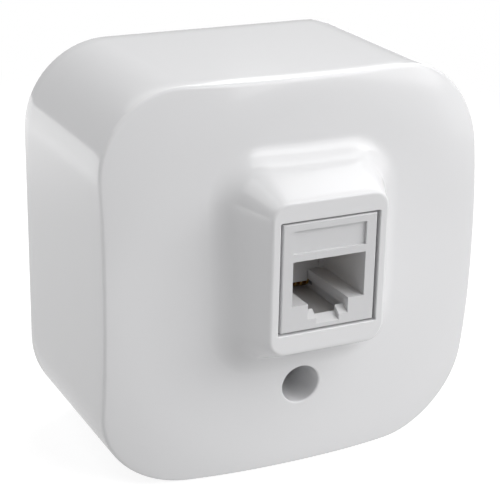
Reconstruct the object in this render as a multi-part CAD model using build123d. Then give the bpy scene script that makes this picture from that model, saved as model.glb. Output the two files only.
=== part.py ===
from build123d import *
import math
import os

# Surface-mounted data outlet with one 8-way modular jack.
# Millimetres. The origin is the centre of the face that lies on the wall, +X is right as seen from the
# front, +Z is up and the front faces -Y. A "depth" is a distance from the wall, so it lies at y = -depth.

# --- cover ---------------------------------------------------------------------------------------------
cover_width = 62.3          # at the wall; the draft makes it 62.0 at the front
cover_height = 62.3
cover_corner = 13.6
cover_draft = 0.25          # degrees
cover_wall = 2.0
dome_depth = 36.35          # wall to the middle of the domed front
crown_radius = 200.0        # middle of the domed front, out to the crown's reach
crown_reach = 27.5
shoulder_radius = 40.0      # beyond the reach, tangent to the crown
shoulder_turn = 45.0        # degrees of the dome's profile, enough to pass the cover's corners
rim_round = 0.5

# --- raised frame around the jack ----------------------------------------------------------------------
frame_proud = 6.9           # flat frame face in front of the dome's middle
frame_drop = 0.1            # frame's centre below the module's
frame_border_side = 1.28    # frame face beside the aperture
frame_border_end = 3.0      # frame face above and below it
frame_corner = 2.6
frame_flank_angle = 25.0    # flank's lean away from the depth direction, in degrees
frame_foot_round = 4.3
frame_edge_round = 0.6
frame_wall = 1.9            # thickness behind the frame face
frame_root = 8.0            # frame's solid starts this far behind the dome's middle
aperture_gap_side = 0.45    # round the module's face
aperture_gap_end = 0.32

# --- cover screw ---------------------------------------------------------------------------------------
screw_height = -16.6        # height of the screw's axis
screw_head_radius = 2.75
screw_head_gap = 0.31       # round the head in its hole
screw_head_height = 1.9
screw_head_inset = 8.15     # top of the head behind the dome's middle
screw_shank_radius = 1.5
screw_length = 11.0
screw_slot_width = 0.7
screw_slot_depth = 0.9
screw_clearance = 0.2       # round the shank in the cover
screw_tube_wall = 1.6
screw_seat_thickness = 1.6
insert_radius = 2.4
insert_length = 6.0
thread_clearance = 0.08
press_gap = 0.02            # round the insert in its post, and over the wires in their grooves
post_wall = 1.6             # round the insert
washer_rim = 1.4            # washer round the shank
washer_thickness = 0.5

# --- base plate ----------------------------------------------------------------------------------------
base_thickness = 2.5
base_clearance = 0.25       # between the plate's edge and the cover's inside
base_rim_thickness = 1.6
base_rim_height = 5.0
cable_hole_edge = 4.4       # between the cable hole and the plate's top edge
cable_hole_radius = 6.0
wall_slot_edge = 3.4        # between a slot's outer end and the plate's side edge
wall_slot_width = 4.2
wall_slot_length = 8.0
wall_slot_pad_wall = 1.8
wall_slot_pad_height = 0.8
knockout_width = 9.0
knockout_depth = 9.0
knockout_skin = 0.6
knockout_offset = 15.0      # its middle from the outlet's centre line

# --- jack module ---------------------------------------------------------------------------------------
module_recess = 0.15        # module face behind the frame face
module_width = 15.2
module_height = 16.6
module_centre = 4.3
module_length = 14.7        # front face to the circuit board side
module_edge_round = 0.25
port_width = 11.8
port_height = 6.82
port_floor = 0.0            # height of the ledges the plug slides on
port_depth = 12.3
port_wall = 1.4             # thickness of the module's front wall
latch_step_width = 6.6
latch_step_depth = 2.35     # below the ledges, at the module's face
latch_slot_width = 3.7
latch_slot_depth = 3.25
latch_ramp_rise = 0.95      # steps and slot climb this much through the front wall
latch_ledge = 1.65          # thickness of the ledges over the channel
latch_channel_width = 8.4
latch_channel_depth = 3.6
label_width = 11.8
label_height = 3.55
label_rise = 1.1            # bottom of the recess above the port's roof
label_depth = 0.5
shoulder_proud = 0.8        # ledge behind the bracket's ring
shoulder_length = 1.2
snap_proud = 0.45           # wedge in front of the bracket's ring
snap_length = 1.0
snap_height = 5.0

# --- contacts ------------------------------------------------------------------------------------------
contact_count = 8
contact_pitch = 1.016
wire = 0.36                 # thickness of a contact wire
contact_turn_inset = 2.9    # bend that an arm turns about, behind the module's face
contact_turn_rise = 0.33    # bend above the port's roof
contact_tip_gap = 0.8       # arm's tip in front of the port's back
contact_drop = 2.55         # arm's tip below the bend
contact_gap = 0.05          # between an arm's round end and its root
carrier_rise = 0.78         # carrier's underside above the port's roof
carrier_thickness = 1.0
carrier_side = 1.45         # carrier beyond the outer contacts' axes
carrier_front_gap = 0.15
comb_tooth_width = 0.4
comb_tooth_length = 2.0
comb_height = 3.3           # teeth, down from the carrier's underside
comb_apron = 1.9            # comb's reach below the ledges, between them
root_drop_inset = 0.8       # fixed legs run down this far behind the port's back
root_pin_drop = 2.0         # they enter the board this far below the lower blades
root_pin_reach = 1.4        # into the board
fit_gap = 0.08              # slack of a piece in its pocket

# --- board, terminals and caps -------------------------------------------------------------------------
board_thickness = 1.6
board_margin = 0.3          # board edge inside the module's outline
board_gap = 0.05
hole_gap = 0.05             # round a pin in the board
peg_radius = 0.6
peg_reach = 2.0
peg_side = 1.25             # peg's axis from the module's side
terminal_length = 9.0
terminal_height = 5.6
terminal_edge_gap = 0.5     # block's outer side inside the module's outline
terminal_pitch = 3.4
terminals_per_block = 4
wire_slot_width = 1.2
wire_slot_depth = 5.0
blade_width = 2.2
blade_thickness = 0.4
blade_inset = 0.6           # blade tips below the block's rear face
blade_slot_width = 0.4
blade_slot_depth = 4.2
blade_tail = 0.5
cap_roof = 1.4
cap_skirt = 1.0
cap_skirt_reach = 4.5
cap_gap = 0.2
cap_finger_length = 1.8
cap_finger_width = 0.9

# --- bracket -------------------------------------------------------------------------------------------
ring_thickness = 2.0
ring_inset = 10.6           # ring's front behind the module's face
ring_gap = 0.15
ring_border = 5.4
ring_border_top = 3.4
leg_thickness = 2.4
leg_height = 14.0
foot_width = 5.2
foot_thickness = 2.0
boss_radius = 2.4
boss_height = 3.0
bracket_screw_height = 5.0  # above and below the module's centre
small_shank_radius = 1.1
small_head_radius = 2.1
small_head_height = 1.5
small_screw_bite = 4.0
small_slot_width = 0.5
small_slot_depth = 0.6
small_slot_reach = 1.3      # crossed slots' length over the head's radius

# --- cable clamp ---------------------------------------------------------------------------------------
clamp_edge = 9.9            # its middle above the plate's bottom edge
clamp_span = 13.6           # between its two screws
clamp_width = 5.4
clamp_thickness = 1.8
cable_radius = 2.9

# --- cutting solids --------------------------------------------------------------------------------------
lap = 1.0                   # they run this far past the face they open
skin_lap = 0.1              # and this far into the hollow behind a thinned wall

# --- sizes that follow -----------------------------------------------------------------------------------
frame_depth = dome_depth + frame_proud
screw_head_depth = dome_depth - screw_head_inset
screw_hole_radius = screw_head_radius + screw_head_gap
post_radius = insert_radius + post_wall
washer_radius = screw_shank_radius + washer_rim
aperture_width = module_width + 2 * aperture_gap_side
aperture_height = module_height + 2 * aperture_gap_end
frame_width = aperture_width + 2 * frame_border_side
frame_height = aperture_height + 2 * frame_border_end
frame_centre = module_centre - frame_drop
module_face_depth = frame_depth - module_recess
module_rear_depth = module_face_depth - module_length
port_back_depth = module_face_depth - port_depth
board_front_depth = module_rear_depth - board_gap
board_rear_depth = board_front_depth - board_thickness
block_front_depth = board_rear_depth - board_gap
block_rear_depth = block_front_depth - terminal_length
seat_depth = screw_head_depth - screw_head_height
tube_end_depth = seat_depth - screw_seat_thickness
tube_radius = screw_hole_radius + screw_tube_wall
washer_depth = tube_end_depth - fit_gap
post_depth = washer_depth - washer_thickness - fit_gap
inner_width = cover_width - 2 * cover_wall
inner_height = cover_height - 2 * cover_wall
inner_corner = cover_corner - cover_wall
base_width = inner_width - 2 * base_clearance
base_height = inner_height - 2 * base_clearance
boss_depth = base_thickness + boss_height
cable_hole_height = base_height / 2 - cable_hole_edge - cable_hole_radius
wall_slot_spacing = base_width - 2 * wall_slot_edge - wall_slot_length
ring_front_depth = module_face_depth - ring_inset
ring_rear_depth = ring_front_depth - ring_thickness
port_roof = port_floor + port_height
label_centre = port_roof + label_rise + label_height / 2
contact_turn_depth = module_face_depth - contact_turn_inset
contact_turn_height = port_roof + contact_turn_rise
contact_tip_depth = port_back_depth + contact_tip_gap
contact_tip_height = contact_turn_height - contact_drop
carrier_bottom = port_roof + carrier_rise
carrier_top = carrier_bottom + carrier_thickness
comb_bottom = carrier_bottom - comb_height
root_drop_depth = port_back_depth - root_drop_inset
clamp_side = -knockout_offset
clamp_height = clamp_edge - base_height / 2
contact_sides = [(i - (contact_count - 1) / 2) * contact_pitch for i in range(contact_count)]
carrier_width = contact_sides[-1] * 2 + 2 * carrier_side
wire_height = carrier_top - wire / 2 - press_gap
terminal_sides = [(i - (terminals_per_block - 1) / 2) * terminal_pitch for i in range(terminals_per_block)]
terminal_offset = module_height / 2 - terminal_edge_gap - terminal_height / 2
terminal_rows = {"upper": module_centre + terminal_offset, "lower": module_centre - terminal_offset}
wire_groove = wire + 2 * hole_gap
root_pin_height = terminal_rows["lower"] - root_pin_drop
peg_offset = module_width / 2 - peg_side
leg_inner = module_width / 2 + ring_border - leg_thickness
leg_outer = leg_inner + leg_thickness
bracket_screw_side = leg_outer + foot_width / 2

os.makedirs("parts", exist_ok=True)


def block(width, height, near, far, side=0.0, up=0.0):
    return Pos(side, -(near + far) / 2, up) * Box(width, far - near, height)


def rod(radius, near, far, side=0.0, up=0.0):
    return Pos(side, -(near + far) / 2, up) * Rot(90, 0, 0) * Cylinder(radius, far - near)


def prism(width, height, corner, near, far, up=0.0, draft=0.0):
    outline = Plane.XZ.offset(near) * Pos(0, up) * RectangleRounded(width, height, corner)
    return extrude(outline, far - near, taper=draft)


def slot(width, length, near, far, side=0.0, up=0.0):
    outline = Plane.XZ.offset(near) * Pos(side, up) * SlotOverall(length, width)
    return extrude(outline, far - near)


def frame_boss(width, height, corner, top, root):
    outline = Plane.XZ.offset(top) * Pos(0, frame_centre) * RectangleRounded(width, height, corner)
    return extrude(outline, root - top, taper=-frame_flank_angle)


def dome(inset):
    # turned solid behind the front's profile or an inset copy of it: the crown's arc, then the shoulder's
    crown_turn = math.asin(crown_reach / crown_radius)
    crown_middle = crown_radius - dome_depth
    apart = crown_radius - shoulder_radius

    def crown(turn):
        radius = crown_radius - inset
        return radius * math.sin(turn), crown_middle - radius * math.cos(turn)

    def shoulder(turn):
        radius = shoulder_radius - inset
        side = apart * math.sin(crown_turn) + radius * math.sin(turn)
        return side, crown_middle - apart * math.cos(crown_turn) - radius * math.cos(turn)

    last = math.radians(shoulder_turn)
    front = ThreePointArc(crown(0), crown(crown_turn / 2), crown(crown_turn))
    front += ThreePointArc(shoulder(crown_turn), shoulder((crown_turn + last) / 2), shoulder(last))
    back = Polyline(shoulder(last), (shoulder(last)[0], lap), (0, lap), crown(0))
    return revolve(make_face(front + back), Axis.Y)


def edges_between(shape, near, far, reach):
    found = []
    for edge in shape.edges():
        corners = [(-v.Y, max(abs(v.X), abs(v.Z - frame_centre))) for v in edge.vertices()]
        if all(near < depth < far and span < reach for depth, span in corners):
            found.append(edge)
    return found


def save(shape, name):
    export_step(shape, f"parts/{name}.step")


# --- cover: drafted rounded square, domed front, raised frame with a flared foot, hollow behind ----------
def make_cover():
    shell = prism(cover_width, cover_height, cover_corner, 0, frame_depth, draft=cover_draft)
    shell &= dome(0)
    rim = [e for e in shell.edges() if max(abs(e.center().X), abs(e.center().Z)) > cover_corner
           and e.center().Y < -dome_depth / 2 and e.geom_type != GeomType.LINE]
    shell = fillet(rim, rim_round)
    root = dome_depth - frame_root
    shell += frame_boss(frame_width, frame_height, frame_corner, frame_depth, root)
    foot_reach = max(frame_width, frame_height) / 2 + frame_proud
    foot = edges_between(shell, dome_depth - 2 * cover_wall, dome_depth + cover_wall / 2, foot_reach)
    shell = fillet(foot, frame_foot_round)
    edge_window = frame_edge_round / 2
    edge = edges_between(shell, frame_depth - edge_window, frame_depth + edge_window, foot_reach)
    shell = fillet(edge, frame_edge_round)

    hollow = prism(inner_width, inner_height, inner_corner, 0, frame_depth, draft=cover_draft)
    hollow &= dome(cover_wall)
    flank = math.radians(frame_flank_angle)
    lean = 2 * frame_wall * (1 / math.cos(flank) - math.tan(flank))
    pocket = frame_boss(frame_width - lean, frame_height - lean, frame_corner / 2, frame_depth - frame_wall, root)
    tube = rod(tube_radius, tube_end_depth, dome_depth - cover_wall / 2, up=screw_height)
    shell -= hollow + pocket
    shell += tube & dome(0)
    shell -= block(aperture_width, aperture_height, root, frame_depth + lap, up=module_centre)
    shell -= rod(screw_hole_radius, seat_depth, frame_depth, up=screw_height)
    shell -= rod(screw_shank_radius + screw_clearance, 0, frame_depth, up=screw_height)
    for side, end in ((-knockout_offset, -1), (knockout_offset, 1)):
        thinned = cover_wall - knockout_skin
        up = end * (inner_height / 2 + thinned / 2 - skin_lap)
        shell -= block(knockout_width, thinned + 2 * skin_lap, -lap, knockout_depth, side, up)
    return shell


# --- base plate: wall plate with a locating rim, posts, bosses, slots and the cable entry ----------------
def make_base_plate():
    plate = prism(base_width, base_height, inner_corner - base_clearance, 0, base_thickness + base_rim_height)
    inside = prism(base_width - 2 * base_rim_thickness, base_height - 2 * base_rim_thickness,
                   inner_corner - base_clearance - base_rim_thickness,
                   base_thickness, base_thickness + base_rim_height + lap)
    plate -= inside
    for side, end in ((-knockout_offset, -1), (knockout_offset, 1)):
        up = end * base_height / 2
        plate -= block(knockout_width, 3 * base_rim_thickness, base_thickness, frame_depth, side, up)
    plate += rod(post_radius, 0, post_depth, up=screw_height)
    plate -= rod(insert_radius, post_depth - insert_length, post_depth + lap, up=screw_height)
    plate -= rod(screw_shank_radius + screw_clearance, base_thickness, post_depth, up=screw_height)
    for side in (-bracket_screw_side, bracket_screw_side):
        for up in (module_centre - bracket_screw_height, module_centre + bracket_screw_height):
            plate += rod(boss_radius, 0, boss_depth, side, up)
            plate -= rod(small_shank_radius + fit_gap, base_thickness / 2, boss_depth, side, up)
    for side in (-wall_slot_spacing / 2, wall_slot_spacing / 2):
        pad = 2 * wall_slot_pad_wall
        plate += slot(wall_slot_width + pad, wall_slot_length + pad, 0,
                      base_thickness + wall_slot_pad_height, side)
        plate -= slot(wall_slot_width, wall_slot_length, -lap, base_thickness + wall_slot_pad_height + lap, side)
    for side in (clamp_side - clamp_span / 2, clamp_side + clamp_span / 2):
        plate += rod(boss_radius, 0, boss_depth, side, clamp_height)
        plate -= rod(small_shank_radius + fit_gap, base_thickness / 2, boss_depth, side, clamp_height)
    plate -= rod(cable_hole_radius, -lap, base_thickness + lap, up=cable_hole_height)
    return plate


# --- screws, insert and washer ---------------------------------------------------------------------------
def make_cover_screw():
    tip_depth = seat_depth - screw_length
    screw = rod(screw_head_radius, seat_depth, screw_head_depth, up=screw_height)
    crown = screw.edges().group_by(Axis.Y)[0]
    screw = fillet(crown, screw_head_height / 3)
    screw += rod(screw_shank_radius, tip_depth, seat_depth, up=screw_height)
    screw = chamfer(screw.edges().group_by(Axis.Y)[-1], screw_shank_radius / 3)
    for width, height in ((2 * (screw_head_radius + lap), screw_slot_width), (screw_slot_width, screw_head_radius)):
        screw -= block(width, height, screw_head_depth - screw_slot_depth, screw_head_depth + lap, up=screw_height)
    return screw


def make_insert():
    near = post_depth - insert_length + fit_gap
    insert = rod(insert_radius - press_gap, near, post_depth, up=screw_height)
    return insert - rod(screw_shank_radius + thread_clearance, near - lap, post_depth + lap, up=screw_height)


def make_washer():
    washer = rod(washer_radius, washer_depth - washer_thickness, washer_depth, up=screw_height)
    return washer - rod(screw_shank_radius + fit_gap, post_depth, washer_depth + lap, up=screw_height)


def small_screw(head_seat, side, up):
    screw = rod(small_head_radius, head_seat, head_seat + small_head_height, side, up)
    screw = fillet(screw.edges().group_by(Axis.Y)[0], small_head_height / 2)
    screw += rod(small_shank_radius, head_seat - small_screw_bite, head_seat, side, up)
    reach = small_head_radius * small_slot_reach
    top = head_seat + small_head_height
    screw -= block(reach, small_slot_width, top - small_slot_depth, top + lap, side, up)
    screw -= block(small_slot_width, reach, top - small_slot_depth, top + lap, side, up)
    return screw


# --- bracket: ring round the module on two legs, with feet on the base plate's bosses --------------------
def make_bracket():
    ring_width = module_width + 2 * ring_border
    ring_height = module_height + 2 * ring_border_top
    ring = prism(ring_width, ring_height, ring_border_top / 2, ring_rear_depth, ring_front_depth)
    ring = Pos(0, 0, module_centre) * ring
    ring -= block(module_width + 2 * ring_gap, module_height + 2 * ring_gap,
                  ring_rear_depth - lap, ring_front_depth + lap, up=module_centre)
    bracket = ring
    for end in (-1, 1):
        leg_side = end * (leg_inner + leg_thickness / 2)
        bracket += block(leg_thickness, leg_height, boss_depth, ring_rear_depth, leg_side, module_centre)
        foot_side = end * (leg_outer + foot_width / 2)
        bracket += block(foot_width, leg_height, boss_depth, boss_depth + foot_thickness, foot_side, module_centre)
        for up in (module_centre - bracket_screw_height, module_centre + bracket_screw_height):
            bracket -= rod(small_shank_radius + fit_gap, 0, boss_depth + foot_thickness + lap, foot_side, up)
    return bracket


def latch_ramp(width, base):
    # cut through the module's front wall whose floor climbs inwards from the base
    face, inner = module_face_depth, module_face_depth - port_wall
    drop = latch_ramp_rise * lap / port_wall
    outline = Polyline((-inner, base + latch_ramp_rise), (-face - lap, base - drop),
                       (-face - lap, port_floor + lap), (-inner, port_floor + lap), close=True)
    return extrude(Plane.YZ * make_face(outline), width / 2, both=True)


# --- jack housing: module face, label recess, plug opening, latch channel, shoulder and snaps ------------
def make_housing():
    face = module_face_depth
    body = block(module_width, module_height, module_rear_depth, face, up=module_centre)
    body = fillet(body.edges().group_by(Axis.Y)[0], module_edge_round)
    shoulder = 2 * shoulder_proud
    body += block(module_width + shoulder, module_height + shoulder,
                  ring_rear_depth - fit_gap - shoulder_length, ring_rear_depth - fit_gap, up=module_centre)
    snap_depth = ring_front_depth + fit_gap
    body += block(module_width + 2 * snap_proud, snap_height, snap_depth, snap_depth + snap_length,
                  up=module_centre)
    port_centre = port_floor + port_height / 2
    body -= block(port_width, port_height, port_back_depth, face + lap, up=port_centre)
    body -= block(label_width, label_height, face - label_depth, face + lap, up=label_centre)

    # steps and slot through the front wall, then the space between the ledges and the wider channel below them
    body -= latch_ramp(latch_step_width, port_floor - latch_step_depth)
    body -= latch_ramp(latch_slot_width, port_floor - latch_slot_depth)
    body -= block(latch_step_width, latch_ledge + lap, module_rear_depth - lap, face - port_wall,
                  up=port_floor - latch_ledge + (latch_ledge + lap) / 2)
    body -= block(latch_channel_width, latch_channel_depth - latch_ledge, module_rear_depth - lap, face - port_wall,
                  up=port_floor - (latch_channel_depth + latch_ledge) / 2)

    # pocket for the contact carrier, open at the back
    pocket_top = carrier_top + fit_gap
    pocket_width = carrier_width + 2 * fit_gap
    front = face - port_wall
    body -= block(pocket_width, pocket_top - port_roof + fit_gap, module_rear_depth - lap, front,
                  up=(pocket_top + port_roof - fit_gap) / 2)
    body -= block(pocket_width, pocket_top - port_floor, module_rear_depth - lap, port_back_depth + fit_gap,
                  up=(pocket_top + port_floor) / 2)
    legs_base = root_pin_height - wire / 2 - fit_gap
    body -= block(pocket_width, port_floor - legs_base, module_rear_depth - lap, root_drop_depth + wire,
                  up=(port_floor + legs_base) / 2)
    for side, up in peg_places():
        body -= rod(peg_radius + hole_gap, module_rear_depth - peg_reach - hole_gap - lap,
                    module_rear_depth + peg_reach + hole_gap, side, up)
    return body


def peg_places():
    return [(side, up) for side in (-peg_offset, peg_offset) for up in terminal_rows.values()]


# --- contact carrier: slab over the port, grooved for the wires; comb: the port's back, toothed in front ---
def make_carrier():
    slab_front = contact_turn_depth - wire / 2 - carrier_front_gap
    carrier = block(carrier_width, carrier_thickness, module_rear_depth, slab_front,
                    up=(carrier_top + carrier_bottom) / 2)
    for side in contact_sides:
        carrier -= block(wire_groove, wire_groove + lap, root_drop_depth - wire_groove / 2, slab_front + lap,
                         side, wire_height - wire_groove / 2 + (wire_groove + lap) / 2)
        carrier -= block(wire_groove, 2 * carrier_thickness + lap, module_rear_depth - lap,
                         root_drop_depth + wire_groove / 2, side, carrier_bottom)
    return carrier


def make_comb():
    front = port_back_depth - fit_gap
    comb_top = carrier_bottom - fit_gap / 2
    comb = block(carrier_width, comb_top - port_floor, module_rear_depth, front, up=(comb_top + port_floor) / 2)
    comb += block(latch_step_width - 2 * fit_gap, comb_apron, module_rear_depth, front,
                  up=port_floor - comb_apron / 2)
    tooth_sides = [side - contact_pitch / 2 for side in contact_sides]
    tooth_sides.append(contact_sides[-1] + contact_pitch / 2)
    for side in tooth_sides:
        comb += block(comb_tooth_width, comb_top - comb_bottom, front, front + comb_tooth_length,
                      side, (comb_top + comb_bottom) / 2)
    for side in contact_sides:
        comb -= block(wire_groove, 2 * comb_top, module_rear_depth - lap, root_drop_depth + wire_groove / 2,
                      side, comb_top / 2)
    return comb


# --- contacts: a fixed leg from the board round to the front bend, and the sprung arm behind the bend ----
def bar(start, end, side):
    # square wire along a straight run between two (depth, height) points
    run = Vector(0, end[0] - start[0], end[1] - start[1])
    middle = Pos(side, -(start[0] + end[0]) / 2, (start[1] + end[1]) / 2)
    angle = Vector(0, 1, 0).get_signed_angle(run, Vector(1, 0, 0))
    return middle * Rot(-angle, 0, 0) * Box(wire, run.length, wire)


def make_root(side):
    stub = contact_turn_height + wire / 2 + contact_gap
    half = wire / 2
    leg = bar((root_drop_depth - half, wire_height), (contact_turn_depth + half, wire_height), side)
    leg += bar((contact_turn_depth, wire_height + half), (contact_turn_depth, stub), side)
    leg += bar((root_drop_depth, wire_height + half), (root_drop_depth, root_pin_height - half), side)
    leg += bar((board_front_depth - root_pin_reach, root_pin_height), (root_drop_depth, root_pin_height), side)
    return leg


def make_arm(side):
    turn = (contact_turn_depth, contact_turn_height)
    arm = bar(turn, (contact_tip_depth, contact_tip_height), side)
    turned_end = Pos(side, -contact_turn_depth, contact_turn_height) * Rot(0, 90, 0) * Cylinder(wire / 2, wire)
    return arm + turned_end


# --- board, terminal blocks, blades and caps --------------------------------------------------------------
def make_board():
    board = block(module_width - 2 * board_margin, module_height - 2 * board_margin,
                  board_rear_depth, board_front_depth, up=module_centre)
    through = (board_rear_depth - lap, board_front_depth + lap)
    for side in contact_sides:
        board -= block(wire + 2 * hole_gap, wire + 2 * hole_gap, *through, side, root_pin_height)
    for side, up in peg_places():
        board -= rod(peg_radius + hole_gap, *through, side, up)
    for up in terminal_rows.values():
        for side in terminal_sides:
            board -= block(blade_tail + 2 * hole_gap, blade_thickness + 2 * hole_gap, *through, side, up)
    return board


def make_terminal_block(up):
    body = block(module_width - 2 * board_margin, terminal_height, block_rear_depth, block_front_depth, up=up)
    body = chamfer(body.edges().group_by(Axis.Y)[-1].filter_by(Axis.X), terminal_edge_gap)
    for side in terminal_sides:
        body -= block(wire_slot_width, terminal_height + lap, block_rear_depth - lap,
                      block_rear_depth + wire_slot_depth, side, up)
        body -= block(blade_width + 2 * hole_gap, blade_thickness + 2 * hole_gap, block_rear_depth - lap,
                      block_front_depth + lap, side, up)
    for side in (-peg_offset, peg_offset):
        body += rod(peg_radius, block_front_depth, module_rear_depth + peg_reach, side, up)
    return body


def make_blade(side, up):
    tip = block_rear_depth + blade_inset
    blade = block(blade_width, blade_thickness, tip, block_front_depth, side, up)
    blade -= block(blade_slot_width, lap, tip - lap, tip + blade_slot_depth, side, up)
    return blade + block(blade_tail, blade_thickness, block_front_depth, board_front_depth, side, up)


def make_cap(up):
    roof_front = block_rear_depth - cap_gap
    roof_rear = roof_front - cap_roof
    width = module_width - 2 * board_margin + 2 * (cap_gap + cap_skirt)
    cap = block(width, terminal_height, roof_rear, roof_front, up=up)
    for end in (-1, 1):
        cap += block(cap_skirt, terminal_height, roof_front, roof_front + cap_skirt_reach,
                     end * (width - cap_skirt) / 2, up)
    for side in terminal_sides:
        finger = block(cap_finger_width, terminal_height, roof_front, roof_front + cap_finger_length, side, up)
        finger -= block(2 * blade_width, 3 * blade_thickness, roof_front, frame_depth, side, up)
        cap += finger
    return cap


# --- cable clamp: saddle bridging its two screws ----------------------------------------------------------
def make_saddle():
    long = clamp_span + 2 * boss_radius
    strap = block(long, clamp_width, boss_depth, boss_depth + clamp_thickness, clamp_side, clamp_height)
    arch = Pos(clamp_side, -boss_depth, clamp_height) * Cylinder(cable_radius + clamp_thickness, clamp_width)
    arch &= block(long, clamp_width, boss_depth, frame_depth, clamp_side, clamp_height)
    saddle = strap + arch
    saddle -= Pos(clamp_side, -boss_depth, clamp_height) * Cylinder(cable_radius, clamp_width + lap)
    for side in clamp_screw_sides:
        saddle -= rod(small_shank_radius + fit_gap, 0, frame_depth, side, clamp_height)
    return saddle


clamp_screw_sides = (clamp_side - clamp_span / 2, clamp_side + clamp_span / 2)
foot_top = boss_depth + foot_thickness
bracket_screw_places = [(-bracket_screw_side, module_centre + bracket_screw_height),
                        (bracket_screw_side, module_centre + bracket_screw_height),
                        (-bracket_screw_side, module_centre - bracket_screw_height),
                        (bracket_screw_side, module_centre - bracket_screw_height)]

save(make_cover(), "cover")
save(make_base_plate(), "base_plate")
save(make_cover_screw(), "cover_screw")
save(make_insert(), "screw_insert")
save(make_washer(), "retaining_washer")
save(make_bracket(), "jack_bracket")
save(Compound([small_screw(foot_top, side, up) for side, up in bracket_screw_places]), "bracket_screws")
save(make_housing(), "jack_housing")
save(make_carrier(), "contact_carrier")
save(make_comb(), "contact_comb")
save(Compound([make_root(side) for side in contact_sides]), "contact_roots")
for number, side in enumerate(contact_sides, 1):
    save(make_arm(side), f"contact_{number}")
save(make_board(), "circuit_board")
for row, up in terminal_rows.items():
    save(make_terminal_block(up), f"terminal_block_{row}")
    save(Compound([make_blade(side, up) for side in terminal_sides]), f"idc_blades_{row}")
    save(make_cap(up), f"wiring_cap_{row}")
save(make_saddle(), "cable_clamp")
clamp_screw_seat = boss_depth + clamp_thickness
save(Compound([small_screw(clamp_screw_seat, side, clamp_height) for side in clamp_screw_sides]), "clamp_screws")
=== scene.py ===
import bmesh
import bpy
import math
import numpy as np
from mathutils import Matrix, Vector


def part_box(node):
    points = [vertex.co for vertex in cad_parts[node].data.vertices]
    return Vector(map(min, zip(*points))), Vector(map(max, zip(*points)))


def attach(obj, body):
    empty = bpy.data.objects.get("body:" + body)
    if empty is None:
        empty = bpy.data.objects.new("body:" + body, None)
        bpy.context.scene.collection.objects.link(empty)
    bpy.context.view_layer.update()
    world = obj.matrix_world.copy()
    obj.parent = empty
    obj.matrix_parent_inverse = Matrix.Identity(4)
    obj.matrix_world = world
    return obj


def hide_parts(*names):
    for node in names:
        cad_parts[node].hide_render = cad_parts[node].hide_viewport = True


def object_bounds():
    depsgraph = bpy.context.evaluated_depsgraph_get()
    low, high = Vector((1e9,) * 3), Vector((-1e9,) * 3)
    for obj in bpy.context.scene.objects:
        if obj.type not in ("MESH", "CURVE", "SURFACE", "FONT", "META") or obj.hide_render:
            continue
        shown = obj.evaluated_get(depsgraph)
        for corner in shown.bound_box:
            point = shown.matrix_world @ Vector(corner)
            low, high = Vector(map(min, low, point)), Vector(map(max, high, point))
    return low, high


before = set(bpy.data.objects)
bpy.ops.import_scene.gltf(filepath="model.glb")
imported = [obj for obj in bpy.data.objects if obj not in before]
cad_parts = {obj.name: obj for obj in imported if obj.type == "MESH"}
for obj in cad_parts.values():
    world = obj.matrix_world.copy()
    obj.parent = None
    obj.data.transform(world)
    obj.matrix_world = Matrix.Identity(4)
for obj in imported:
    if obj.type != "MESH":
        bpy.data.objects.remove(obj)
cadLow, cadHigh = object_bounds()
mm = 0.001


# ---- shader maths ----
class Link:
    # wraps one output socket, so that material maths reads as plain sums
    def __init__(self, paint, socket):
        self.paint, self.socket = paint, socket

    def sum(self, kind, first, second):
        return self.paint.add("ShaderNodeMath", {"operation": kind}, {0: first, 1: second})

    def __add__(self, other):
        return self.sum("ADD", self, other)

    def __radd__(self, other):
        return self.sum("ADD", other, self)

    def __sub__(self, other):
        return self.sum("SUBTRACT", self, other)

    def __rsub__(self, other):
        return self.sum("SUBTRACT", other, self)

    def __mul__(self, other):
        return self.sum("MULTIPLY", self, other)

    def __rmul__(self, other):
        return self.sum("MULTIPLY", other, self)

    def __truediv__(self, other):
        return self.sum("DIVIDE", self, other)

    def __rtruediv__(self, other):
        return self.sum("DIVIDE", other, self)

    def __pow__(self, other):
        return self.sum("POWER", self, other)

    def __rpow__(self, other):
        return self.sum("POWER", other, self)


class Paint:
    # one material; add() makes any node from its type, settings and socket values
    def __init__(self, name):
        self.material = bpy.data.materials.new(name)
        self.material.use_nodes = True
        self.tree = self.material.node_tree
        self.tree.nodes.clear()
        self.place = self.add("ShaderNodeTexCoord", {}, {}, "Object")

    def add(self, kind, settings, values, out=0):
        node = self.tree.nodes.new(kind)
        for name, value in settings.items():
            setattr(node, name, value)
        for name, value in values.items():
            if isinstance(value, Link):
                self.tree.links.new(value.socket, node.inputs[name])
            else:
                node.inputs[name].default_value = value
        return Link(self, node.outputs[out])

    def noise(self, size, detail=2.0, where=None):
        # size is the width of one blotch in millimetres
        values = {"Vector": where or self.place, "Scale": 1 / (size * mm), "Detail": detail}
        return self.add("ShaderNodeTexNoise", {}, values, "Fac")

    def mix(self, amount, first, second):
        settings = {"data_type": "RGBA"}
        return self.add("ShaderNodeMix", settings, {0: amount, 6: first, 7: second}, 2)

    def bump(self, height, depth):
        # depth is the bump's height in millimetres
        values = {"Height": height, "Distance": depth * mm, "Strength": 1.0}
        return self.add("ShaderNodeBump", {}, values)

    def finish(self, **values):
        sockets = {name.replace("_", " "): value for name, value in values.items()}
        shader = self.add("ShaderNodeBsdfPrincipled", {}, sockets)
        output = self.tree.nodes.new("ShaderNodeOutputMaterial")
        self.tree.links.new(shader.socket, output.inputs["Surface"])
        return self.material


def rgb(red, green, blue):
    return (red, green, blue, 1.0)


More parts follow.
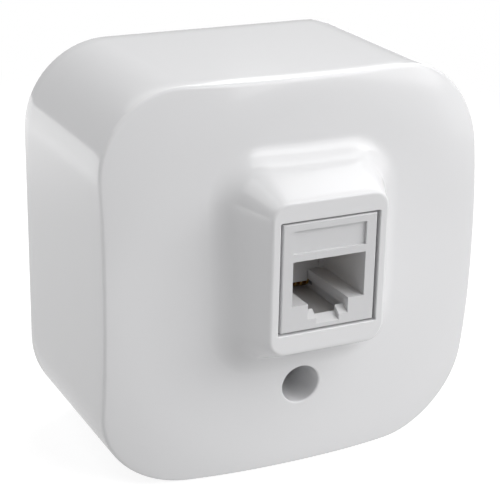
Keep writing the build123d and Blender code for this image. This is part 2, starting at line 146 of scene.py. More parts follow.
def mouldedPlastic(name, colour, rough, grain, grainDepth, tint=0.02):
    # moulded plastic: faint mottle in the colour, a fine grain, and a roughness that wanders a little
    paint = Paint(name)
    darker = rgb(*[c * (1 - tint) for c in colour])
    colourMix = paint.mix(paint.noise(9.0, 3.0), rgb(*colour), darker)
    wander = rough * (0.9 + 0.2 * paint.noise(4.0))
    normal = paint.bump(paint.noise(grain, 4.0), grainDepth)
    return paint.finish(Base_Color=colourMix, Roughness=wander, Normal=normal)


def platedMetal(name, colour, rough, streak):
    # plated metal: roughness and colour follow fine streaks
    paint = Paint(name)
    stretched = paint.add("ShaderNodeMapping", {"vector_type": "POINT"},
                          {"Vector": paint.place, "Scale": (1.0, streak, 1.0)})
    lines = paint.noise(0.25, 3.0, stretched)
    colourMix = paint.mix(lines, rgb(*colour), rgb(*[c * 0.86 for c in colour]))
    normal = paint.bump(lines, 0.004)
    streaky = rough * (0.75 + 0.5 * lines)
    return paint.finish(Base_Color=colourMix, Metallic=1.0, Roughness=streaky, Normal=normal)


finishes = {
    "cover_plastic": mouldedPlastic("coverGlossWhite", (0.80, 0.80, 0.81), 0.12, 2.6, 0.0012, 0.008),
    "base_plastic": mouldedPlastic("baseWhite", (0.74, 0.74, 0.74), 0.5, 0.35, 0.008),
    "jack_plastic": mouldedPlastic("jackSatinWhite", (0.70, 0.70, 0.71), 0.42, 0.22, 0.003),
    "bracket_plastic": mouldedPlastic("bracketGrey", (0.58, 0.58, 0.59), 0.55, 0.3, 0.008),
    "carrier_plastic": mouldedPlastic("carrierGrey", (0.64, 0.64, 0.65), 0.5, 0.3, 0.006),
    "terminal_plastic": mouldedPlastic("terminalGrey", (0.55, 0.56, 0.58), 0.5, 0.3, 0.006),
    "cap_plastic": mouldedPlastic("capBlueGrey", (0.12, 0.16, 0.22), 0.45, 0.3, 0.006),
    "clamp_plastic": mouldedPlastic("clampGrey", (0.60, 0.60, 0.60), 0.5, 0.3, 0.006),
    "washer_nylon": mouldedPlastic("washerNylon", (0.66, 0.65, 0.58), 0.4, 0.3, 0.004),
    "board_laminate": mouldedPlastic("boardLaminate", (0.30, 0.17, 0.07), 0.4, 0.3, 0.004, 0.2),
    "screw_steel": platedMetal("screwZinc", (0.55, 0.56, 0.57), 0.32, 1.0),
    "blade_tin": platedMetal("bladeTin", (0.68, 0.67, 0.63), 0.35, 0.1),
    "insert_brass": platedMetal("insertBrass", (0.62, 0.45, 0.16), 0.3, 0.1),
    "contact_gold": platedMetal("contactGold", (0.80, 0.52, 0.16), 0.22, 0.08),
}
print("finishes made:", len(finishes))


# ---- mesh helpers ----
def pieceFromGrid(name, points, closeU=True, closeV=False, capEnds=False):
    # points is rings x around x 3, in millimetres; each ring is a loop, and rings follow one another
    rings, around, _ = points.shape
    index = np.arange(rings * around).reshape(rings, around)
    if closeV:
        index = np.vstack([index, index[:1]])
    if closeU:
        index = np.hstack([index, index[:, :1]])
    quads = np.stack([index[:-1, :-1], index[:-1, 1:], index[1:, 1:], index[1:, :-1]], axis=-1).reshape(-1, 4)
    mesh = bpy.data.meshes.new(name)
    faces = quads.tolist()
    if capEnds:
        faces += [index[0, :around][::-1].tolist(), index[-1, :around].tolist()]
    mesh.from_pydata((points.reshape(-1, 3) * mm).tolist(), [], faces)
    mesh.validate()
    mesh.update()
    piece = bpy.data.objects.new(name, mesh)
    bpy.context.scene.collection.objects.link(piece)
    return piece


def faceOutwards(piece):
    # a closed piece whose volume comes out negative is inside out
    mesh = piece.data
    co = np.zeros(len(mesh.vertices) * 3)
    mesh.vertices.foreach_get("co", co)
    co = co.reshape(-1, 3)
    mesh.calc_loop_triangles()
    tri = np.zeros(len(mesh.loop_triangles) * 3, dtype=np.int32)
    mesh.loop_triangles.foreach_get("vertices", tri)
    a, b, c = co[tri.reshape(-1, 3)].transpose(1, 0, 2)
    if np.einsum("ij,ij->i", a, np.cross(b, c)).sum() < 0:
        mesh.flip_normals()


def smoothPiece(piece, angle=35.0):
    piece.data.polygons.foreach_set("use_smooth", [True] * len(piece.data.polygons))
    piece.data.set_sharp_from_angle(angle=math.radians(angle))
    piece.data.update()


def applyModifiers(piece):
    graph = bpy.context.evaluated_depsgraph_get()
    made = bpy.data.meshes.new_from_object(piece.evaluated_get(graph))
    piece.modifiers.clear()
    piece.data = made


def carve(piece, cutter, kind="DIFFERENCE"):
    modifier = piece.modifiers.new(kind.lower(), "BOOLEAN")
    modifier.operation, modifier.solver, modifier.object = kind, "EXACT", cutter
    applyModifiers(piece)
    bpy.data.objects.remove(cutter)


def dress(piece, body, slot, *cadNodes):
    piece.data.materials.clear()
    piece.data.materials.append(finishes[slot])
    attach(piece, body)
    if cadNodes:
        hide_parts(*cadNodes)


# ---- cover ----
cover = {
    "width": (cadHigh.x - cadLow.x) / mm, "height": (cadHigh.z - cadLow.z) / mm, "draft": math.radians(0.25),
    "corner": 13.6, "wall": 2.0, "rimRound": 0.5, "rearRound": 0.35,
    "domeDepth": 36.35, "crownRadius": 200.0, "crownReach": 27.5, "shoulderRadius": 40.0,
    "frameDepth": -cadLow.y / mm, "frameCentre": 4.2, "frameWidth": 18.66, "frameHeight": 23.24,
    "frameCorner": 2.6, "flank": math.radians(25.0), "footRound": 4.3, "edgeRound": 0.6, "frameWall": 1.9,
    "apertureWidth": 16.1, "apertureHeight": 17.24, "apertureCentre": 4.3, "apertureCorner": 0.25,
    "apertureRound": 0.12, "sideSteps": 34, "cornerSteps": 18,
    "footReach": 9.0, "rimBack": 3.0, "pocketReach": 5.4, "pocketRound": 0.5, "roundIn": 0.8,
    "rearEase": 0.25, "innerBack": 6.0, "mouthBack": 0.8,
}
quarterArc = 0.7071     # weight that makes a bend a quarter circle
rimArc = 0.79           # weight for the rim, whose front and wall meet at an obtuse angle


def loopAround(halfX, halfZ, corner, centreZ=0.0):
    # rounded rectangle as points in the XZ plane: an arc of cornerSteps for each corner, then a straight side
    turn = np.linspace(0, math.pi / 2, cover["cornerSteps"] + 1)
    along = np.linspace(0, 1, cover["sideSteps"] + 1)[1:-1, None]
    signs = [(1, -1), (1, 1), (-1, 1), (-1, -1)]
    arcs = []
    for quarter, (signX, signZ) in enumerate(signs):
        start = -math.pi / 2 + quarter * math.pi / 2
        middle = np.array([signX * (halfX - corner), signZ * (halfZ - corner) + centreZ])
        arcs.append(middle + corner * np.stack([np.cos(start + turn), np.sin(start + turn)], axis=1))
    parts = []
    for quarter in range(4):
        first, second = arcs[quarter], arcs[(quarter + 1) % 4]
        parts += [first, first[-1] + (second[0] - first[-1]) * along]
    return np.vstack(parts)


def domeHeight(xz, inset=0.0):
    # the front is turned about the depth axis: the crown's flat arc, then the shoulder's tighter arc, which
    # is tangent to it
    reach = np.sqrt((xz ** 2).sum(axis=-1))
    turn = math.asin(cover["crownReach"] / cover["crownRadius"])
    apart = cover["crownRadius"] - cover["shoulderRadius"]
    base = cover["domeDepth"] - cover["crownRadius"]
    crown = cover["crownRadius"] - inset
    shoulder = cover["shoulderRadius"] - inset
    beyond = np.clip(reach - apart * math.sin(turn), 0, shoulder * 0.95)
    onCrown = base + np.sqrt(crown ** 2 - np.minimum(reach, crown * 0.9) ** 2)
    onShoulder = base + apart * math.cos(turn) + np.sqrt(shoulder ** 2 - beyond ** 2)
    return np.where(reach < crown * math.sin(turn), onCrown, onShoulder)


def frameDistance(xz):
    # distance outside the frame's rounded rectangle, negative inside it
    corner = cover["frameCorner"]
    half = np.array([cover["frameWidth"] / 2 - corner, cover["frameHeight"] / 2 - corner])
    away = np.abs(xz - np.array([0, cover["frameCentre"]])) - half
    return np.linalg.norm(np.maximum(away, 0), axis=-1) + np.minimum(away.max(axis=-1), 0) - corner


def flankOver(ground, top, distance, footRound):
    # height of the frame's flank over the dome: a straight lean, then an arc that is tangent to lean and dome
    lean = cover["flank"]
    reach = footRound * math.tan((math.pi / 2 - lean) / 2)
    past = distance - (top - ground) * math.tan(lean)
    arc = footRound - np.sqrt(np.maximum(footRound ** 2 - (reach - past) ** 2, 0))
    straight = -past / math.tan(lean)
    return ground + np.where(past < -reach * math.sin(lean), straight, np.where(past < reach, arc, 0))


def frontDepth(xz):
    return flankOver(domeHeight(xz), cover["frameDepth"], frameDistance(xz), cover["footRound"])


def lifted(xz, depth):
    depth = np.broadcast_to(depth, xz.shape[:1])
    return np.stack([xz[:, 0], -depth, xz[:, 1]], axis=1)


def bend(first, corner, last, steps, weight):
    # rational curve from first to last that bends round the corner: it is an arc when weight is the cosine of
    # half the turn
    t = np.linspace(0, 1, steps + 1)[:, None, None]
    b0, b1, b2 = (1 - t) ** 2, 2 * (1 - t) * t * weight, t ** 2
    return list((b0 * first + b1 * corner + b2 * last) / (b0 + b1 + b2))


def offsetLoop(grow, shrinkCorner=0.0):
    return loopAround(cover["frameWidth"] / 2 + grow, cover["frameHeight"] / 2 + grow,
                      max(cover["frameCorner"] + grow - shrinkCorner, 0.2), cover["frameCentre"])


def wallLoop(inset, depth):
    shrink = inset + depth * math.tan(cover["draft"])
    return loopAround(cover["width"] / 2 - shrink, cover["height"] / 2 - shrink, cover["corner"] - inset)


def outerRings():
    rings = []
    face = cover["frameDepth"]
    halfX, halfZ = cover["apertureWidth"] / 2, cover["apertureHeight"] / 2
    roundOff, corner, up = cover["apertureRound"], cover["apertureCorner"], cover["apertureCentre"]
    mouth = loopAround(halfX, halfZ, corner, up)
    lip = loopAround(halfX + roundOff, halfZ + roundOff, corner + roundOff, up)
    rings += bend(lifted(mouth, face - roundOff), lifted(mouth, face), lifted(lip, face), 4, quarterArc)
    slope = math.pi / 2 - cover["flank"]
    tangent = cover["edgeRound"] * math.tan(slope / 2)
    edge = offsetLoop(-tangent)
    rings += [lifted(lip + (edge - lip) * t, face) for t in np.linspace(0, 1, 9)[1:-1]]
    for turn in np.linspace(0, slope, 6):
        drop = cover["edgeRound"] * (1 - math.cos(turn))
        rings.append(lifted(offsetLoop(-tangent + cover["edgeRound"] * math.sin(turn)), face - drop))
    # closest rings where the flank's foot bends most
    reach = cover["footReach"]
    steps = [np.linspace(0.4, 2.0, 7), np.linspace(2.1, 7.4, 40), np.linspace(7.8, reach, 4)]
    for grow in np.concatenate(steps):
        loop = offsetLoop(grow)
        rings.append(lifted(loop, frontDepth(loop)))
    foot = offsetLoop(reach)
    rimDepth = cover["domeDepth"] - cover["rimBack"]
    roundOff = cover["rimRound"]
    rim = wallLoop(roundOff, rimDepth)
    for t in np.linspace(0, 1, 26)[1:]:
        loop = foot + (rim - foot) * t
        rings.append(lifted(loop, frontDepth(loop)))
    corner = wallLoop(0, rimDepth)
    cornerDepth = domeHeight(corner)
    sideTop = lifted(corner, cornerDepth - roundOff)
    rings += bend(rings[-1], lifted(corner, cornerDepth), sideTop, 6, rimArc)[1:]
    rear = cover["rearRound"]
    for t in np.linspace(0, 1, 14)[1:]:
        depth = (cornerDepth - roundOff) * (1 - t) + rear * t
        rings.append(lifted(wallAt(depth), depth))
    rearCorner = lifted(wallAt(0 * cornerDepth), 0.0)
    rings += bend(rings[-1], rearCorner, lifted(wallLoop(rear, 0), 0.0), 4, quarterArc)[1:]
    return rings


def wallAt(depth):
    # outer wall's loop with its draft taken at each point's own depth
    outer, inner = wallLoop(0, 0), wallLoop(0, 1)
    return outer + (inner - outer) * np.asarray(depth)[:, None]


def innerRings():
    wall = cover["wall"]
    ease, roundIn = cover["rearEase"], cover["roundIn"]
    first = wallLoop(wall - ease, 0)
    opening = wallLoop(wall, 0)
    rings = [lifted(first, 0.0), lifted(opening, ease)]
    back = cover["domeDepth"] - cover["innerBack"]
    side = wallLoop(wall, back)
    depth = domeHeight(side, wall)
    for t in np.linspace(0, 1, 10)[1:]:
        rings.append(lifted(opening + (side - opening) * t, ease + (depth - roundIn - ease) * t))
    inset = wallLoop(wall + roundIn, back)
    insetTop = lifted(inset, domeHeight(inset, wall))
    rings += bend(rings[-1], lifted(side, depth), insetTop, 5, rimArc)[1:]
    shift = cover["frameWall"] * (1 / math.cos(cover["flank"]) - math.tan(cover["flank"]))
    top = cover["frameDepth"] - cover["frameWall"]
    pocketReach = cover["pocketReach"]
    pocketFoot = offsetLoop(pocketReach - shift, cover["frameCorner"] / 2)
    for t in np.linspace(0, 1, 14)[1:]:
        loop = inset + (pocketFoot - inset) * t
        rings.append(lifted(loop, domeHeight(loop, wall)))
    for grow in np.linspace(pocketReach, 0, 24)[1:]:
        loop = offsetLoop(grow - shift, cover["frameCorner"] / 2)
        rings.append(lifted(loop, flankOver(domeHeight(loop, wall), top, grow, cover["pocketRound"])))
    mouth = loopAround(cover["apertureWidth"] / 2, cover["apertureHeight"] / 2,
                       cover["apertureCorner"], cover["apertureCentre"])
    rings[-1][:, 1] = -top
    rings += [lifted(mouth, top), lifted(mouth, cover["frameDepth"] - cover["mouthBack"])]
    return rings


def lathe(name, profile, axisZ, axisX=0.0, around=64, lift=None, ends=True):
    # profile is (radius, depth) pairs turned about the depth axis; lift can change radius and depth at each
    # angle
    profile = np.asarray(profile, float)
    angle = np.linspace(0, 2 * math.pi, around, endpoint=False)
    radius = np.repeat(profile[:, :1], around, axis=1)
    depth = np.repeat(profile[:, 1:], around, axis=1)
    if lift:
        radius, depth = lift(radius, depth, angle[None, :])
    points = np.stack([axisX + radius * np.cos(angle), -depth, axisZ + radius * np.sin(angle)], axis=-1)
    piece = pieceFromGrid(name, points, closeV=not ends, capEnds=ends)
    faceOutwards(piece)
    return piece


def block(name, low, high):
    # plain box between two (x, depth, z) corners
    x, depth, z = np.array([low, high]).T
    points = np.array([[[x[i], -d, z[j]] for i, j in ((0, 0), (1, 0), (1, 1), (0, 1))] for d in depth])
    piece = pieceFromGrid(name, points, capEnds=True)
    faceOutwards(piece)
    return piece


hole = {"axis": -16.6, "radius": 3.06, "rimRound": 0.3, "seat": 26.3, "shankHole": 1.7, "shankCut": (20, 30),
        "tubeRadius": 4.66, "tubeEnd": 24.7, "tubeLap": 0.2, "rimLap": 0.004, "below": 3, "above": 2,
        "knockWidth": 9.0, "knockDepth": 9.0, "knockSkin": 0.6, "knockX": 15.0, "knockLap": 0.5}


def followDome(radius, depth, angle):
    # the cutter's upper rings keep their height over the dome at every angle
    xz = np.stack([radius * np.cos(angle), hole["axis"] + radius * np.sin(angle)], axis=-1)
    near = np.clip((depth - 20) / 10, 0, 1)
    return radius, depth + near * (domeHeight(xz) - cover["domeDepth"])


def holeProfile():
    turn = np.linspace(0, math.pi / 2, 9)
    rim, top = hole["rimRound"], cover["domeDepth"]
    radii = hole["radius"] + rim * (1 - np.cos(turn))
    arc = np.stack([radii, top - rim + rim * np.sin(turn) + hole["rimLap"]], axis=1)
    start = [[hole["radius"], hole["seat"]], [hole["radius"], top - hole["below"]]]
    return np.vstack([start, arc, [[hole["radius"] + rim, top + hole["above"]]]])


coverShell = pieceFromGrid("coverShell", np.array(outerRings() + innerRings()), closeV=True)
faceOutwards(coverShell)
tubeTop = cover["domeDepth"] - cover["wall"] - hole["tubeLap"]
tubeProfile = [(hole["tubeRadius"], hole["tubeEnd"]), (hole["tubeRadius"], tubeTop)]
carve(coverShell, lathe("tube", tubeProfile, hole["axis"]), "UNION")
carve(coverShell, lathe("holeCut", np.array(holeProfile()), hole["axis"], around=96, lift=followDome))
shankProfile = [(hole["shankHole"], depth) for depth in hole["shankCut"]]
carve(coverShell, lathe("shankCut", shankProfile, hole["axis"]))
innerHalf = cover["height"] / 2 - cover["wall"]
for side in (-1, 1):
    span = sorted((side * (innerHalf - hole["knockLap"]), side * (cover["height"] / 2 - hole["knockSkin"])))
    left = side * hole["knockX"] - hole["knockWidth"] / 2
    nearCorner = (left, -1, span[0])
    farCorner = (left + hole["knockWidth"], hole["knockDepth"], span[1])
    carve(coverShell, block("knock", nearCorner, farCorner))
smoothPiece(coverShell, 38.0)
dress(coverShell, "cover", "cover_plastic", "cover")
print("cover shell:", len(coverShell.data.polygons), "faces")


# ---- softened copies of the plainer CAD nodes ----
softened = {
    # node: body, slot, edge width in millimetres
    "base_plate": ("base", "base_plastic", 0.15),
    "retaining_washer": ("cover_screw", "washer_nylon", 0.08),
    "jack_bracket": ("base", "bracket_plastic", 0.15),
    "jack_housing": ("base", "jack_plastic", 0.12),
    "contact_carrier": ("base", "carrier_plastic", 0.04),
    "contact_comb": ("base", "carrier_plastic", 0.05),
    "circuit_board": ("base", "board_laminate", 0.03),
    "terminal_block_upper": ("base", "terminal_plastic", 0.10),
    "terminal_block_lower": ("base", "terminal_plastic", 0.10),
    "idc_blades_upper": ("base", "blade_tin", 0.05),
    "idc_blades_lower": ("base", "blade_tin", 0.05),
    "wiring_cap_upper": ("upper_cap", "cap_plastic", 0.15),
    "wiring_cap_lower": ("lower_cap", "cap_plastic", 0.15),
    "cable_clamp": ("base", "clamp_plastic", 0.15),
}


def softCopy(node, body, slot, width):
    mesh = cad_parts[node].data.copy()
    soft = bmesh.new()
    soft.from_mesh(mesh)
    bmesh.ops.remove_doubles(soft, verts=soft.verts, dist=2e-7)
    bmesh.ops.dissolve_limit(soft, angle_limit=math.radians(0.6), verts=soft.verts, edges=soft.edges)
    soft.to_mesh(mesh)
    soft.free()
    mesh.polygons.foreach_set("use_smooth", [True] * len(mesh.polygons))
    piece = bpy.data.objects.new("soft_" + node, mesh)
    bpy.context.scene.collection.objects.link(piece)
    bevel = piece.modifiers.new("edges", "BEVEL")
    bevel.width, bevel.segments = width * mm, 2
    bevel.limit_method, bevel.angle_limit = "ANGLE", math.radians(40)
    weighted = piece.modifiers.new("flats", "WEIGHTED_NORMAL")
    weighted.weight, weighted.keep_sharp = 100, True
    applyModifiers(piece)
    dress(piece, body, slot, node)


for node, (body, slot, width) in softened.items():
    softCopy(node, body, slot, width)
print("softened copies:", len(softened))


# ---- screws ----
def join(name, pieces):
    # several closed pieces as one mesh
    whole = bmesh.new()
    for piece in pieces:
        whole.from_mesh(piece.data)
        bpy.data.objects.remove(piece)
    mesh = bpy.data.meshes.new(name)
    whole.to_mesh(mesh)
    whole.free()
    joined = bpy.data.objects.new(name, mesh)
    bpy.context.scene.collection.objects.link(joined)
    return joined


def screwBody(name, size, axisX, axisZ):
    # domed head on a threaded shank, closed at the tip, with a crossed slot cut in the head
    head, shank, seat, top = size["head"], size["shank"], size["seat"], size["top"]
    crown, tip = size["crown"], size["tip"]
    turn = np.linspace(0, math.pi / 2, 9)
    crownArc = [(head - crown * (1 - math.cos(t)), top - crown + crown * math.sin(t)) for t in turn]
    rings = int((seat - tip) / size["pitch"] * 12)
    shankLine = [(shank, seat - (seat - tip) * t) for t in np.linspace(0.0, 1.0, rings)]
    edge, pole = 0.08, 0.02
    underHead = [(head, seat + edge), (head - edge, seat)]
    profile = [(pole, top)] + crownArc[::-1] + underHead + shankLine + [(pole, tip)]

    def thread(radius, depth, angle):
        # the groove's height follows depth plus a share of the turn, and fades out at the head and the tip
        wave = 0.5 - 0.5 * np.cos(2 * math.pi * (depth / size["pitch"] + angle / (2 * math.pi)))
        fade = np.clip((seat - 0.3 - depth) / 0.4, 0, 1) * (np.abs(radius - shank) < 1e-6)
        point = np.clip((depth - tip) / (0.6 * shank), 0, 1) ** 0.7
        slim = np.where(np.abs(radius - shank) < 1e-6, 0.35 + 0.65 * point, 1.0)
        return (radius - size["threadDepth"] * wave * fade) * slim, depth

    piece = lathe(name, profile, axisZ, axisX, around=48, lift=thread)
    deep, half, arm = top - size["slotDeep"], size["slotWide"] / 2, size["slotArm"]
    for wide, tall in ((arm, half), (half, size["crossArm"])):
        nearCorner = (axisX - wide, deep, axisZ - tall)
        farCorner = (axisX + wide, top + 1, axisZ + tall)
        carve(piece, block("slotCut", nearCorner, farCorner))
    return piece


coverScrewSize = {"head": 2.75, "shank": 1.5, "seat": 26.3, "top": 28.2, "crown": 0.63, "tip": 15.3,
                  "pitch": 0.7, "threadDepth": 0.28, "slotDeep": 0.9, "slotWide": 0.7,
                  "slotArm": 3.5, "crossArm": 1.4}
coverScrew = screwBody("coverScrew", coverScrewSize, 0.0, hole["axis"])
smoothPiece(coverScrew, 35.0)
dress(coverScrew, "cover_screw", "screw_steel", "cover_screw")

smallScrewSize = {"head": 2.1, "shank": 1.1, "crown": 0.75, "pitch": 0.55, "threadDepth": 0.2,
                  "headTall": 1.5, "slotDeep": 0.6, "slotWide": 0.5, "slotArm": 1.37, "crossArm": 1.37}


def smallScrews(node):
    # a screw at each end of the CAD node's box, in two rows if the box is tall enough for them
    low, high = (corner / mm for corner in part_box(node))
    head = smallScrewSize["head"]
    size = dict(smallScrewSize, top=-low.y, seat=-low.y - smallScrewSize["headTall"], tip=-high.y)
    heights = {low.z + head, high.z - head}
    heights = sorted(heights) if high.z - low.z > 3 * head else [(low.z + high.z) / 2]
    places = [(x, z) for x in (low.x + head, high.x - head) for z in heights]
    whole = join(node + "Turned", [screwBody("smallScrew", size, x, z) for x, z in places])
    smoothPiece(whole, 35.0)
    dress(whole, "base", "screw_steel", node)


smallScrews("bracket_screws")
smallScrews("clamp_screws")
print("screws done")


# ---- brass insert ----
insert = {"radius": 2.38, "bore": 1.58, "boreEase": 0.1, "chamfer": 0.2, "knurl": 0.09, "knurlRise": 1.2,
          "knurlTurns": 24, "knurlStart": 0.3, "groove": 0.22, "grooveHalf": 0.5}


def knurled(radius, depth, angle):
    # crossed helical ridges: the lower of two opposed waves, only on the outer wall
    rear, front = insert["ends"]
    outer = radius > insert["radius"] - 0.01
    turns = insert["knurlTurns"] * angle
    rise = 2 * math.pi * depth / insert["knurlRise"]
    cross = np.minimum(np.abs(np.sin((turns + rise) / 2)), np.abs(np.sin((turns - rise) / 2)))
    band = np.abs(depth - (rear + front) / 2) < insert["grooveHalf"]
    inside = (depth > rear + insert["knurlStart"]) & (depth < front - insert["knurlStart"])
    drop = np.where(band, insert["groove"], insert["knurl"] * (1 - cross) * inside)
    return radius - drop * outer, depth


insertLow, insertHigh = (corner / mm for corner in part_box("screw_insert"))
insert["ends"] = (-insertHigh.y, -insertLow.y)
rear, front = insert["ends"]
bevelled, ease, bore = insert["chamfer"], insert["boreEase"], insert["bore"]
wall = [(insert["radius"], depth) for depth in np.linspace(rear + bevelled, front - bevelled, 60)]
insertProfile = [(bore, front - ease), (bore, rear + ease), (bore + ease, rear)]
insertProfile += [(insert["radius"] - bevelled, rear)] + wall
insertProfile += [(insert["radius"] - bevelled, front), (bore + ease, front)]
brassInsert = lathe("brassInsert", insertProfile, hole["axis"], around=144, lift=knurled, ends=False)
smoothPiece(brassInsert, 40.0)
dress(brassInsert, "base", "insert_brass", "screw_insert")
print("insert done")


# ---- contacts ----
contacts = {"wire": 0.36, "round": 0.09, "bend": 0.42, "turn": (40.2, 7.15), "tip": (31.6, 4.6), "top": 8.4,
            "back": 30.0, "foot": -2.7, "boardEnd": 26.95, "stub": 7.38, "pitch": 1.016, "count": 8}


def wireAlong(name, path, side, bendRadius, steps=8):
    # a square wire with rounded corners, run along (depth, height) points whose corners are rounded
    path = np.asarray(path, float)
    line = [path[0]]
    for before, here, after in zip(path[:-2], path[1:-1], path[2:]):
        inDir = (here - before) / np.linalg.norm(here - before)
        outDir = (after - here) / np.linalg.norm(after - here)
        cosTurn = float(np.clip(inDir @ outDir, -1, 1))
        reach = bendRadius * math.tan(math.acos(cosTurn) / 2)
        weight = math.sqrt((1 + cosTurn) / 2)
        start, end = here - inDir * reach, here + outDir * reach
        line += [point[0] for point in bend(start[None], here[None], end[None], steps, weight)]
    line.append(path[-1])
    line = np.array(line)
    tangent = np.gradient(line, axis=0)
    tangent /= np.linalg.norm(tangent, axis=1)[:, None]
    normal = np.stack([-tangent[:, 1], tangent[:, 0]], axis=1)
    half, corner = contacts["wire"] / 2, contacts["round"]
    turn = np.linspace(0, math.pi / 2, 4)
    corners = []
    for quarter, (signX, signZ) in enumerate([(1, 1), (-1, 1), (-1, -1), (1, -1)]):
        spin = turn + quarter * math.pi / 2
        across = signX * (half - corner) + corner * np.cos(spin)
        upward = signZ * (half - corner) + corner * np.sin(spin)
        corners.append(np.stack([across, upward], axis=1))
    square = np.vstack(corners)
    depthHeight = line[:, None, :] + normal[:, None, :] * square[None, :, 1:]
    x = np.broadcast_to(side + square[:, 0], depthHeight.shape[:2])
    points = np.stack([x, -depthHeight[..., 0], depthHeight[..., 1]], axis=-1)
    piece = pieceFromGrid(name, points, capEnds=True)
    faceOutwards(piece)
    return piece


rootWires = []
for number in range(contacts["count"]):
    side = (number - (contacts["count"] - 1) / 2) * contacts["pitch"]
    depth = contacts["turn"][0]
    root = [(contacts["boardEnd"], contacts["foot"]), (contacts["back"], contacts["foot"]),
            (contacts["back"], contacts["top"]), (depth, contacts["top"]), (depth, contacts["stub"])]
    rootWires.append(wireAlong("rootWire", root, side, contacts["bend"]))
    arm = wireAlong(f"contactArm{number + 1}", [contacts["turn"], contacts["tip"]], side, 0.0)
    smoothPiece(arm, 40.0)
    dress(arm, f"contact_{number + 1}_arm", "contact_gold", f"contact_{number + 1}")
roots = join("contactRoots", rootWires)
smoothPiece(roots, 40.0)
dress(roots, "base", "contact_gold", "contact_roots")
print("contacts done")


# ---- camera ----
camera = {"place": (-100.47, -220.48, 84.91), "forward": (0.4143, 0.8381, -0.3550),
          "up": (0.1381, 0.3276, 0.9347), "lens": 109.8}
lens = bpy.data.cameras.new("camera")
lens.lens, lens.sensor_width, lens.clip_start, lens.clip_end = camera["lens"], 36.0, 0.01, 20.0
eye = bpy.data.objects.new("camera", lens)
back = -Vector(camera["forward"]).normalized()
right = Vector(camera["up"]).cross(back).normalized()
turned = Matrix((right, back.cross(right), back)).transposed().to_4x4()
eye.matrix_world = Matrix.Translation(Vector(camera["place"]) * mm) @ turned
bpy.context.scene.collection.objects.link(eye)
bpy.context.scene.camera = eye


# ---- studio ----
studio = {"floorSize": 3.0, "floorGap": 0.0002, "ambient": 0.26, "aim": (0, -0.02, 0)}
lamps = {
    # azimuth from the front (+ to the right), elevation, distance, width, height, and the level on a white
    # surface that faces the lamp
    "keyBox": (38, 42, 0.70, 0.68, 0.57, 0.53),
    "keyLow": (38, 22, 0.70, 0.60, 0.32, 0.30),
    "leftHigh": (-100, 55, 0.70, 0.50, 0.50, 0.24),
    "rearRight": (135, 40, 0.70, 0.50, 0.50, 0.33),
    "rearTop": (175, 50, 0.70, 0.60, 0.50, 0.14),
    "right": (75, 15, 0.70, 0.50, 0.50, 0.11),
    "rightTop": (85, 45, 0.70, 0.50, 0.50, 0.12),
}


def makeLamp(name, azimuth, elevation, distance, width, height, level):
    light = bpy.data.lights.new(name, "AREA")
    light.shape, light.size, light.size_y = "RECTANGLE", width, height
    light.energy = level * (math.pi * distance) ** 2
    lamp = bpy.data.objects.new(name, light)
    a, e = math.radians(azimuth), math.radians(elevation)
    out = Vector((math.sin(a) * math.cos(e), -math.cos(a) * math.cos(e), math.sin(e)))
    lamp.location = out * distance + Vector(studio["aim"])
    lamp.rotation_euler = out.to_track_quat("Z", "Y").to_euler()
    bpy.context.scene.collection.objects.link(lamp)


for name, numbers in lamps.items():
    makeLamp(name, *numbers)

reach = studio["floorSize"]
floorHeight = cadLow.z - studio["floorGap"]
floorCorners = [(x * reach, y * reach, floorHeight) for x, y in ((-1, -1), (1, -1), (1, 1), (-1, 1))]
floorMesh = bpy.data.meshes.new("floor")
floorMesh.from_pydata(floorCorners, [], [(0, 1, 2, 3)])
floor = bpy.data.objects.new("floor", floorMesh)
bpy.context.scene.collection.objects.link(floor)

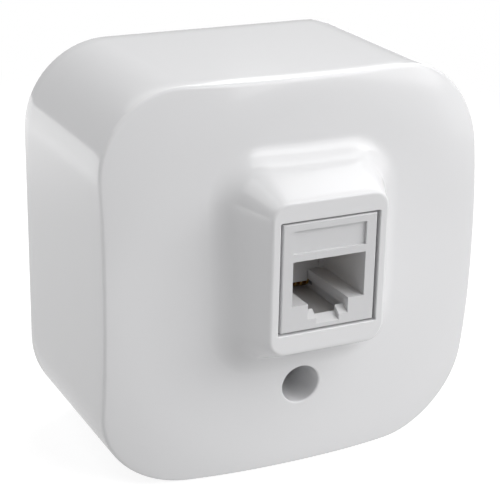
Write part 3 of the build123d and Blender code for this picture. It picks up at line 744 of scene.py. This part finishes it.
# the camera sees a white floor that keeps the object's shadow near it and is plain white further off;
# other rays see painted light: the floor itself glows, brighter behind and to the left of the object and dim
# in front of it
floorPaint = Paint("floorWhite")
floorLook = {"near": 0.10, "far": 0.22, "towards": (-0.5, 0.866), "litFrom": -0.3, "litTo": 0.5,
             "nearDim": 0.62, "nearLit": 0.75, "farDim": 0.12, "farLit": 1.55,
             "shadowColour": 0.45, "shadowGlow": 0.72, "white": 1.0}
split = floorPaint.add("ShaderNodeSeparateXYZ", {}, {"Vector": floorPaint.place})
across = Link(floorPaint, split.socket.node.outputs["X"])
along = Link(floorPaint, split.socket.node.outputs["Y"])
distance = (across * across + along * along) ** 0.5
facing = (across * floorLook["towards"][0] + along * floorLook["towards"][1]) / (distance + 0.001)
smooth = {"interpolation_type": "SMOOTHSTEP"}
farther = floorPaint.add("ShaderNodeMapRange", smooth,
                         {"Value": distance, "From Min": floorLook["near"], "From Max": floorLook["far"]})
lit = floorPaint.add("ShaderNodeMapRange", smooth,
                     {"Value": facing, "From Min": floorLook["litFrom"], "From Max": floorLook["litTo"]})


def glowing(level):
    return floorPaint.add("ShaderNodeEmission", {}, {"Color": rgb(1, 1, 1), "Strength": floorLook[level]})


def blend(factor, first, second):
    return floorPaint.add("ShaderNodeMixShader", {}, {0: factor, 1: first, 2: second})


# painted light: these glowing floor patches light the object in place of lamps
nearFloor = blend(lit, glowing("nearDim"), glowing("nearLit"))
farFloor = blend(lit, glowing("farDim"), glowing("farLit"))
matt = floorPaint.add("ShaderNodeBsdfDiffuse", {}, {"Color": rgb(*[floorLook["shadowColour"]] * 3)})
shadowFloor = floorPaint.add("ShaderNodeAddShader", {}, {0: matt, 1: glowing("shadowGlow")})
seen = floorPaint.add("ShaderNodeLightPath", {}, {}, "Is Camera Ray")
shown = blend(farther, shadowFloor, glowing("white"))
mixed = blend(seen, blend(farther, nearFloor, farFloor), shown)
floorOut = floorPaint.tree.nodes.new("ShaderNodeOutputMaterial")
floorPaint.tree.links.new(mixed.socket, floorOut.inputs["Surface"])
floorMesh.materials.append(floorPaint.material)

world = bpy.data.worlds.new("studioWhite")
world.use_nodes = True
bpy.context.scene.world = world
tree = world.node_tree
tree.nodes.clear()
path = tree.nodes.new("ShaderNodeLightPath")
plain = tree.nodes.new("ShaderNodeBackground")
plain.inputs["Strength"].default_value = studio["ambient"]
white = tree.nodes.new("ShaderNodeBackground")
white.inputs["Strength"].default_value = 1.0
for node in (plain, white):
    node.inputs["Color"].default_value = rgb(1, 1, 1)
blendWorld = tree.nodes.new("ShaderNodeMixShader")
worldOut = tree.nodes.new("ShaderNodeOutputWorld")
tree.links.new(path.outputs["Is Camera Ray"], blendWorld.inputs[0])
tree.links.new(plain.outputs[0], blendWorld.inputs[1])
tree.links.new(white.outputs[0], blendWorld.inputs[2])
tree.links.new(blendWorld.outputs[0], worldOut.inputs["Surface"])

bpy.context.scene.view_settings.view_transform = "Standard"
print("studio ready")
